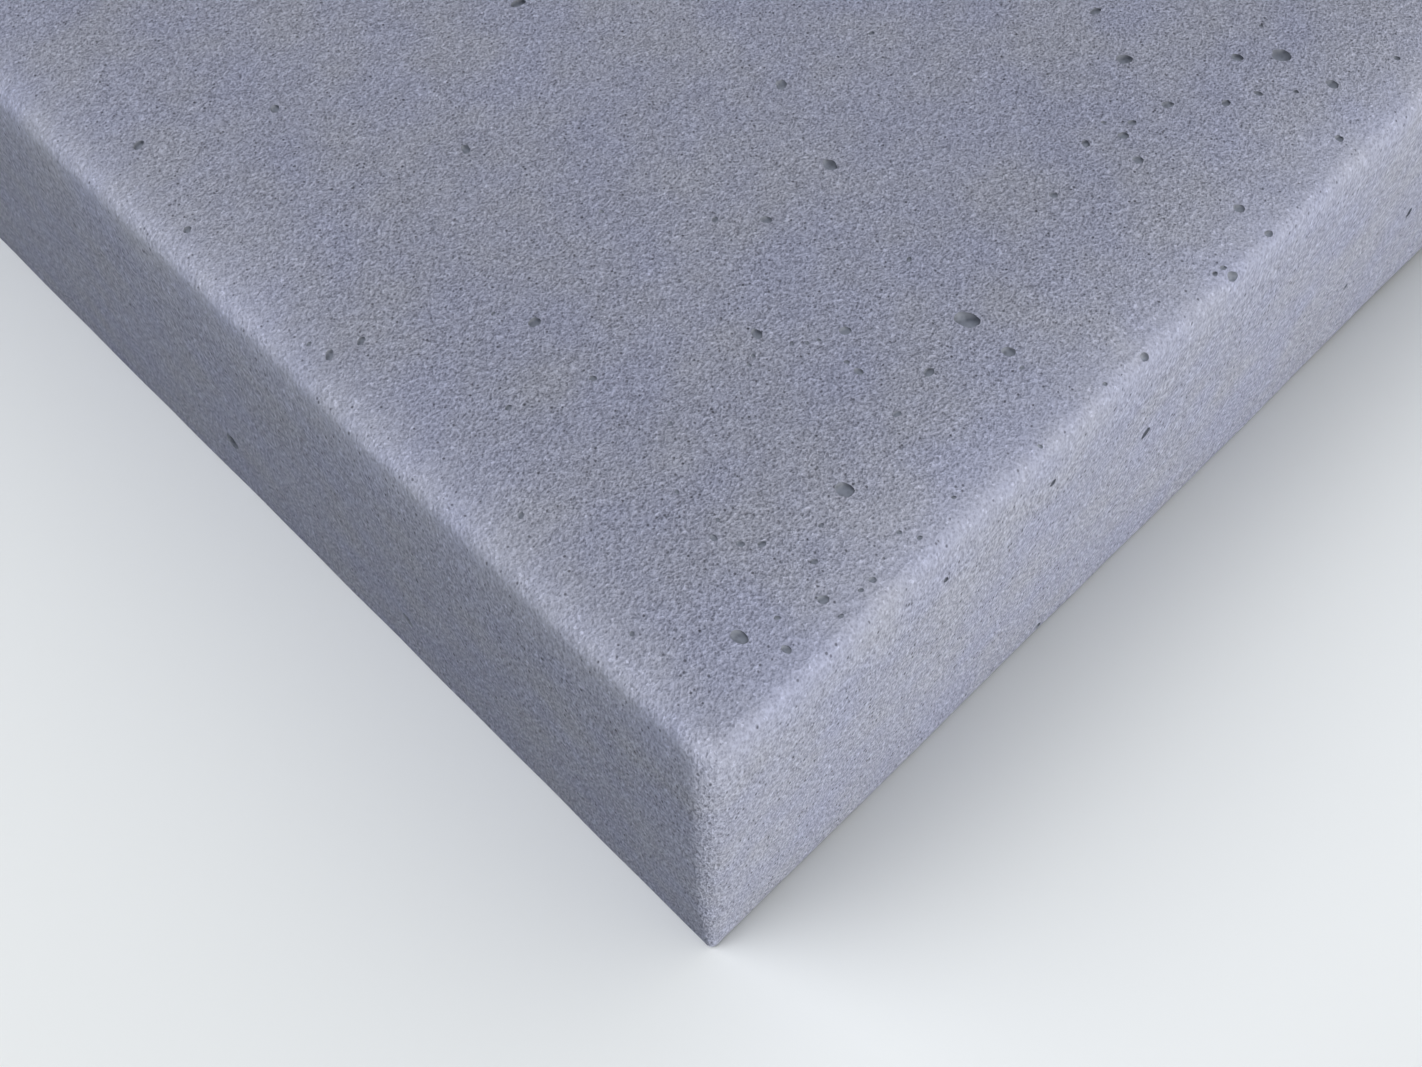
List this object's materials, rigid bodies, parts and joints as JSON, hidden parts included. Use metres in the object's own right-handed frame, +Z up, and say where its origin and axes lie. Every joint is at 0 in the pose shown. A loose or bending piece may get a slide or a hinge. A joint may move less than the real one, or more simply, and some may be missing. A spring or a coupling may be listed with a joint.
{
  "type": "foam block",
  "caption": "Rectangular slab of open-cell cushioning foam with softly rounded top edges and round blowholes opening on its faces.",
  "frame": {"origin": "middle of the bottom face", "axes": "+X along the length, +Y along the width, +Z up through the thickness"},
  "size_m": [0.2, 0.15, 0.05],
  "materials": {
    "foam": "matt open-cell polyurethane foam"
  },
  "bodies": {
    "root": {"foam_block": "foam"}
  },
  "joints": []
}
